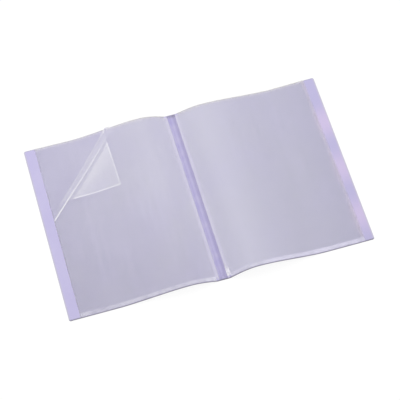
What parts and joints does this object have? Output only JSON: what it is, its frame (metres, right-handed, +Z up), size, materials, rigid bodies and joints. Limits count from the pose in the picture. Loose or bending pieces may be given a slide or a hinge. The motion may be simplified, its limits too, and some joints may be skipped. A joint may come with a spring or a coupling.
{
  "type": "pocket display book",
  "caption": "Open display book with a folded translucent cover, a welded spine and clear pocket leaves that turn; the sheets arch beside the spine and one leaf corner is curled.",
  "frame": {"origin": "on the table under the middle of the spine, at the foot of the open book", "axes": "+X across the open book towards the back cover, +Y up the page to the pocket mouths, +Z up"},
  "size_m": [0.5, 0.31, 0.0281],
  "materials": {
    "cover_sheet": "translucent lavender polypropylene sheet, fine satin grain",
    "film": "clear, slightly hazy polypropylene film with soft sheen",
    "seam": "heat-welded film, paler than the pocket, with fine press lines",
    "weld": "fused page margins over the cover sheet, deeper lavender with pressed grooves"
  },
  "bodies": {
    "spine": {"spine_panel": "cover_sheet", "spine_weld": "weld", "front_crease": "cover_sheet", "back_crease": "cover_sheet", "left_margins": "film", "right_margins": "film"},
    "front_cover": {"front_cover": "cover_sheet"},
    "back_cover": {"back_cover": "cover_sheet"},
    "left_leaf_5": {"left_leaf_5_front_film": "film", "left_leaf_5_back_film": "film", "left_leaf_5_seams": "seam"},
    "left_leaf_4": {"left_leaf_4_front_film": "film", "left_leaf_4_back_film": "film", "left_leaf_4_seams": "seam"},
    "left_leaf_3": {"left_leaf_3_front_film": "film", "left_leaf_3_back_film": "film", "left_leaf_3_seams": "seam"},
    "left_leaf_2": {"left_leaf_2_front_film": "film", "left_leaf_2_back_film": "film", "left_leaf_2_seams": "seam"},
    "left_leaf_1": {"left_leaf_1_front_film": "film", "left_leaf_1_back_film": "film", "left_leaf_1_seams": "seam", "left_leaf_1_curled_corner": "film"},
    "right_leaf_5": {"right_leaf_5_front_film": "film", "right_leaf_5_back_film": "film", "right_leaf_5_seams": "seam"},
    "right_leaf_4": {"right_leaf_4_front_film": "film", "right_leaf_4_back_film": "film", "right_leaf_4_seams": "seam"},
    "right_leaf_3": {"right_leaf_3_front_film": "film", "right_leaf_3_back_film": "film", "right_leaf_3_seams": "seam"},
    "right_leaf_2": {"right_leaf_2_front_film": "film", "right_leaf_2_back_film": "film", "right_leaf_2_seams": "seam"},
    "right_leaf_1": {"right_leaf_1_front_film": "film", "right_leaf_1_back_film": "film", "right_leaf_1_seams": "seam"}
  },
  "joints": [
    {"name": "front_cover_hinge", "type": "hinge", "parent": "spine", "child": "front_cover", "pos_m": [-0.01, 0, 0.00025], "axis": [0, -1, 0], "range_deg": [-84, 0], "deforming": ["left_margins", "left_leaf_1_curled_corner"]},
    {"name": "back_cover_hinge", "type": "hinge", "parent": "spine", "child": "back_cover", "pos_m": [0.01, 0, 0.00025], "axis": [0, 1, 0], "range_deg": [-84, 0], "deforming": ["right_margins"]},
    {"name": "left_leaf_5_turn", "type": "hinge", "parent": "front_cover", "child": "left_leaf_5", "pos_m": [-0.012, 0, 0.00191], "axis": [0, 1, 0], "range_deg": [0, 9]},
    {"name": "left_leaf_4_turn", "type": "hinge", "parent": "left_leaf_5", "child": "left_leaf_4", "pos_m": [-0.012, 0, 0.00261], "axis": [0, 1, 0], "range_deg": [0, 9]},
    {"name": "left_leaf_3_turn", "type": "hinge", "parent": "left_leaf_4", "child": "left_leaf_3", "pos_m": [-0.012, 0, 0.00331], "axis": [0, 1, 0], "range_deg": [0, 9]},
    {"name": "left_leaf_2_turn", "type": "hinge", "parent": "left_leaf_3", "child": "left_leaf_2", "pos_m": [-0.012, 0, 0.00401], "axis": [0, 1, 0], "range_deg": [0, 9]},
    {"name": "left_leaf_1_turn", "type": "hinge", "parent": "left_leaf_2", "child": "left_leaf_1", "pos_m": [-0.012, 0, 0.00471], "axis": [0, 1, 0], "range_deg": [0, 50]},
    {"name": "right_leaf_5_turn", "type": "hinge", "parent": "back_cover", "child": "right_leaf_5", "pos_m": [0.012, 0, 0.00191], "axis": [0, -1, 0], "range_deg": [0, 9]},
    {"name": "right_leaf_4_turn", "type": "hinge", "parent": "right_leaf_5", "child": "right_leaf_4", "pos_m": [0.012, 0, 0.00261], "axis": [0, -1, 0], "range_deg": [0, 9]},
    {"name": "right_leaf_3_turn", "type": "hinge", "parent": "right_leaf_4", "child": "right_leaf_3", "pos_m": [0.012, 0, 0.00331], "axis": [0, -1, 0], "range_deg": [0, 9]},
    {"name": "right_leaf_2_turn", "type": "hinge", "parent": "right_leaf_3", "child": "right_leaf_2", "pos_m": [0.012, 0, 0.00401], "axis": [0, -1, 0], "range_deg": [0, 9]},
    {"name": "right_leaf_1_turn", "type": "hinge", "parent": "right_leaf_2", "child": "right_leaf_1", "pos_m": [0.012, 0, 0.00471], "axis": [0, -1, 0], "range_deg": [0, 50]}
  ]
}
